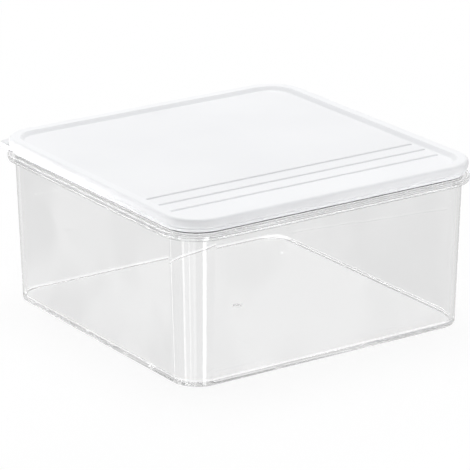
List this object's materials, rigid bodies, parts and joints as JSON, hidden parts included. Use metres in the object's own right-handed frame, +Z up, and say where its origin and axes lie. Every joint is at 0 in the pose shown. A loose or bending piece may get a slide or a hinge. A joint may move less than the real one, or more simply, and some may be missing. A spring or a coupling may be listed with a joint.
{
  "type": "food storage box",
  "caption": "Square clear plastic food box with drafted walls and a collar under its rim, closed by a white push-on lid with a raised border, panel grooves and a corner pull tab.",
  "frame": {"origin": "middle of the base, on the surface that the box stands on", "axes": "+Z up through the lid, -Y towards the front with the panel grooves, pull tab at the corner towards -X and +Y"},
  "size_m": [0.2044, 0.2044, 0.0987],
  "materials": {
    "clear_plastic": "clear, glossy",
    "white_plastic": "satin"
  },
  "bodies": {
    "container": {"container": "clear_plastic"},
    "lid": {"lid": "white_plastic"}
  },
  "joints": [
    {"name": "lid_lift", "type": "slide", "parent": "container", "child": "lid", "axis": [0, 0, 1], "range_m": [0, 0.12]}
  ]
}
